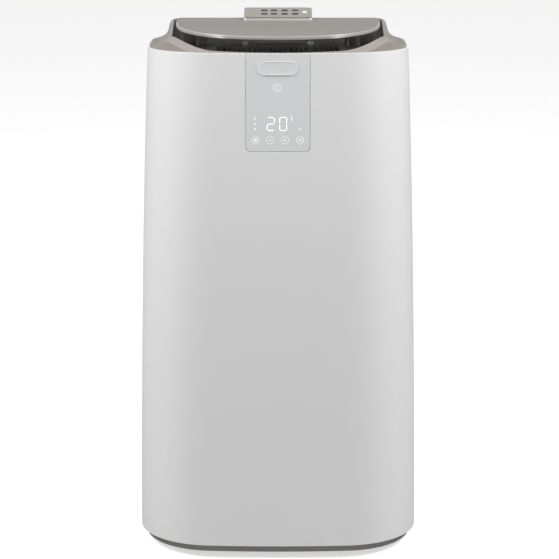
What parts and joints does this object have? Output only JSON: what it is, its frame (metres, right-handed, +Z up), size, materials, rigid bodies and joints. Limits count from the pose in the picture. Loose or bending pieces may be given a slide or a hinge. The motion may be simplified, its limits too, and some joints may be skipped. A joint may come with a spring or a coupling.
{
  "type": "portable air conditioner",
  "caption": "Tall rounded portable air conditioner with a motorised top flap over swinging louvres, casters, rear intakes, hose port and a docked remote control.",
  "frame": {"origin": "on the floor under the middle of the body", "axes": "+Z up, +X to the right seen from the front, the front and its control panel face -Y"},
  "size_m": [0.4396, 0.3846, 0.8284],
  "materials": {
    "white_shell": "satin moulded",
    "taupe_housing": "brushed satin",
    "pale_trim": "satin",
    "grey_base": "matt",
    "grey_panel": "gloss",
    "dark_inner": "matt",
    "dark_key": "matt",
    "pale_vane": "matt",
    "black_nylon": "matt",
    "rubber_tyre": "matt",
    "steel": "brushed",
    "painted_steel": "satin",
    "aluminium_fins": "mill",
    "copper_pipe": "drawn"
  },
  "bodies": {
    "case": {"base_tray": "grey_base", "case_screws": "steel", "compressor": "painted_steel", "compressor_mounts": "rubber_tyre", "condenser_coil": "aluminium_fins", "condenser_motor": "steel", "condenser_scroll": "dark_inner", "control_panel": "grey_panel", "cord_gland": "dark_inner", "display_board": "dark_inner", "drip_tray": "dark_inner", "electrical_box": "dark_inner", "evaporator_coil": "aluminium_fins", "evaporator_motor": "steel", "evaporator_scroll": "dark_inner", "exhaust_collar": "dark_inner", "flap_hinge_pins": "steel", "flap_motor": "steel", "front_panel": "white_shell", "lower_grille": "white_shell", "outlet_grille": "dark_inner", "rear_panel": "white_shell", "refrigerant_pipes": "copper_pipe", "side_handles": "grey_base", "top_housing": "taupe_housing"},
    "flap": {"flap": "taupe_housing", "flap_trim": "pale_trim"},
    "upper_cover": {"upper_grille": "white_shell", "upper_filter": "dark_inner"},
    "drain_plug": {"drain_plug": "dark_inner"},
    "evaporator_wheel": {"evaporator_wheel": "dark_inner"},
    "condenser_wheel": {"condenser_wheel": "dark_inner"},
    "remote": {"remote_base": "pale_trim", "remote_face": "taupe_housing"},
    "battery_door": {"battery_door": "pale_trim"},
    "remote_power_key": {"remote_power_key": "pale_trim"},
    "vane_left_1": {"vane_left_1": "pale_vane"},
    "vane_left_2": {"vane_left_2": "pale_vane"},
    "vane_left_3": {"vane_left_3": "pale_vane"},
    "link_left": {"link_left": "dark_inner"},
    "vane_right_1": {"vane_right_1": "pale_vane"},
    "vane_right_2": {"vane_right_2": "pale_vane"},
    "vane_right_3": {"vane_right_3": "pale_vane"},
    "link_right": {"link_right": "dark_inner"},
    "caster_fork_front_left": {"caster_fork_front_left": "black_nylon"},
    "caster_wheel_front_left": {"caster_wheel_front_left": "rubber_tyre"},
    "caster_fork_front_right": {"caster_fork_front_right": "black_nylon"},
    "caster_wheel_front_right": {"caster_wheel_front_right": "rubber_tyre"},
    "caster_fork_rear_left": {"caster_fork_rear_left": "black_nylon"},
    "caster_wheel_rear_left": {"caster_wheel_rear_left": "rubber_tyre"},
    "caster_fork_rear_right": {"caster_fork_rear_right": "black_nylon"},
    "caster_wheel_rear_right": {"caster_wheel_rear_right": "rubber_tyre"},
    "remote_key_1": {"remote_key_1": "dark_key"},
    "remote_key_2": {"remote_key_2": "dark_key"},
    "remote_key_3": {"remote_key_3": "dark_key"},
    "remote_key_4": {"remote_key_4": "dark_key"},
    "remote_key_5": {"remote_key_5": "dark_key"},
    "remote_key_6": {"remote_key_6": "dark_key"},
    "remote_key_7": {"remote_key_7": "dark_key"},
    "remote_key_8": {"remote_key_8": "dark_key"}
  },
  "joints": [
    {"name": "flap_hinge", "type": "hinge", "parent": "case", "child": "flap", "pos_m": [0, 0.056, 0.798], "axis": [-1, 0, 0], "range_deg": [-5.5, 6]},
    {"name": "vane_left_2_swing", "type": "hinge", "parent": "case", "child": "vane_left_2", "pos_m": [-0.051, 0, 0.752], "axis": [0, 1, 0], "range_deg": [-18, 18]},
    {"name": "vane_left_1_swing", "type": "hinge", "parent": "case", "child": "vane_left_1", "pos_m": [-0.017, 0, 0.752], "axis": [0, 1, 0], "range_deg": [-18, 18]},
    {"name": "vane_left_3_swing", "type": "hinge", "parent": "case", "child": "vane_left_3", "pos_m": [-0.085, 0, 0.752], "axis": [0, 1, 0], "range_deg": [-18, 18]},
    {"name": "link_left_pivot", "type": "hinge", "parent": "vane_left_2", "child": "link_left", "pos_m": [-0.051, 0.036, 0.743], "axis": [0, 1, 0], "range_deg": [-18, 18]},
    {"name": "vane_right_2_swing", "type": "hinge", "parent": "case", "child": "vane_right_2", "pos_m": [0.051, 0, 0.752], "axis": [0, 1, 0], "range_deg": [-18, 18]},
    {"name": "vane_right_1_swing", "type": "hinge", "parent": "case", "child": "vane_right_1", "pos_m": [0.017, 0, 0.752], "axis": [0, 1, 0], "range_deg": [-18, 18]},
    {"name": "vane_right_3_swing", "type": "hinge", "parent": "case", "child": "vane_right_3", "pos_m": [0.085, 0, 0.752], "axis": [0, 1, 0], "range_deg": [-18, 18]},
    {"name": "link_right_pivot", "type": "hinge", "parent": "vane_right_2", "child": "link_right", "pos_m": [0.051, 0.036, 0.743], "axis": [0, 1, 0], "range_deg": [-18, 18]},
    {"name": "caster_swivel_front_left", "type": "hinge", "parent": "case", "child": "caster_fork_front_left", "pos_m": [-0.14, -0.11, 0.05], "axis": [0, 0, 1], "continuous": true},
    {"name": "caster_roll_front_left", "type": "hinge", "parent": "caster_fork_front_left", "child": "caster_wheel_front_left", "pos_m": [-0.14, -0.098, 0.02], "axis": [1, 0, 0], "continuous": true},
    {"name": "caster_swivel_front_right", "type": "hinge", "parent": "case", "child": "caster_fork_front_right", "pos_m": [0.14, -0.11, 0.05], "axis": [0, 0, 1], "continuous": true},
    {"name": "caster_roll_front_right", "type": "hinge", "parent": "caster_fork_front_right", "child": "caster_wheel_front_right", "pos_m": [0.14, -0.098, 0.02], "axis": [1, 0, 0], "continuous": true},
    {"name": "caster_swivel_rear_left", "type": "hinge", "parent": "case", "child": "caster_fork_rear_left", "pos_m": [-0.14, 0.11, 0.05], "axis": [0, 0, 1], "continuous": true},
    {"name": "caster_roll_rear_left", "type": "hinge", "parent": "caster_fork_rear_left", "child": "caster_wheel_rear_left", "pos_m": [-0.14, 0.122, 0.02], "axis": [1, 0, 0], "continuous": true},
    {"name": "caster_swivel_rear_right", "type": "hinge", "parent": "case", "child": "caster_fork_rear_right", "pos_m": [0.14, 0.11, 0.05], "axis": [0, 0, 1], "continuous": true},
    {"name": "caster_roll_rear_right", "type": "hinge", "parent": "caster_fork_rear_right", "child": "caster_wheel_rear_right", "pos_m": [0.14, 0.122, 0.02], "axis": [1, 0, 0], "continuous": true},
    {"name": "evaporator_wheel_spin", "type": "hinge", "parent": "case", "child": "evaporator_wheel", "pos_m": [0, -0.009, 0.636], "axis": [0, 1, 0], "continuous": true},
    {"name": "condenser_wheel_spin", "type": "hinge", "parent": "case", "child": "condenser_wheel", "pos_m": [0, 0.084, 0.18], "axis": [0, 1, 0], "continuous": true},
    {"name": "upper_cover_pull", "type": "slide", "parent": "case", "child": "upper_cover", "axis": [0, 1, 0], "range_m": [0, 0.03]},
    {"name": "drain_plug_pull", "type": "slide", "parent": "case", "child": "drain_plug", "axis": [0, 1, 0], "range_m": [0, 0.025]},
    {"name": "remote_lift", "type": "slide", "parent": "case", "child": "remote", "axis": [0, -0.2079, 0.9781], "range_m": [0, 0.12]},
    {"name": "battery_door_slide", "type": "slide", "parent": "remote", "child": "battery_door", "axis": [0, 0.9781, 0.2079], "range_m": [0, 0.033]},
    {"name": "remote_key_1_press", "type": "slide", "parent": "remote", "child": "remote_key_1", "axis": [0, 0.2079, -0.9781], "range_m": [0, 0.0008], "stiffness_N_per_m": 200},
    {"name": "remote_key_2_press", "type": "slide", "parent": "remote", "child": "remote_key_2", "axis": [0, 0.2079, -0.9781], "range_m": [0, 0.0008], "stiffness_N_per_m": 200},
    {"name": "remote_key_3_press", "type": "slide", "parent": "remote", "child": "remote_key_3", "axis": [0, 0.2079, -0.9781], "range_m": [0, 0.0008], "stiffness_N_per_m": 200},
    {"name": "remote_key_4_press", "type": "slide", "parent": "remote", "child": "remote_key_4", "axis": [0, 0.2079, -0.9781], "range_m": [0, 0.0008], "stiffness_N_per_m": 200},
    {"name": "remote_key_5_press", "type": "slide", "parent": "remote", "child": "remote_key_5", "axis": [0, 0.2079, -0.9781], "range_m": [0, 0.0008], "stiffness_N_per_m": 200},
    {"name": "remote_key_6_press", "type": "slide", "parent": "remote", "child": "remote_key_6", "axis": [0, 0.2079, -0.9781], "range_m": [0, 0.0008], "stiffness_N_per_m": 200},
    {"name": "remote_key_7_press", "type": "slide", "parent": "remote", "child": "remote_key_7", "axis": [0, 0.2079, -0.9781], "range_m": [0, 0.0008], "stiffness_N_per_m": 200},
    {"name": "remote_key_8_press", "type": "slide", "parent": "remote", "child": "remote_key_8", "axis": [0, 0.2079, -0.9781], "range_m": [0, 0.0008], "stiffness_N_per_m": 200},
    {"name": "remote_power_key_press", "type": "slide", "parent": "remote", "child": "remote_power_key", "axis": [0, 0.2079, -0.9781], "range_m": [0, 0.0008], "stiffness_N_per_m": 200}
  ],
  "couplings": [
    {"joint": "vane_left_1_swing", "follows": "vane_left_2_swing", "ratio": 1},
    {"joint": "vane_left_3_swing", "follows": "vane_left_2_swing", "ratio": 1},
    {"joint": "link_left_pivot", "follows": "vane_left_2_swing", "ratio": -1},
    {"joint": "vane_right_1_swing", "follows": "vane_right_2_swing", "ratio": 1},
    {"joint": "vane_right_3_swing", "follows": "vane_right_2_swing", "ratio": 1},
    {"joint": "link_right_pivot", "follows": "vane_right_2_swing", "ratio": -1}
  ]
}
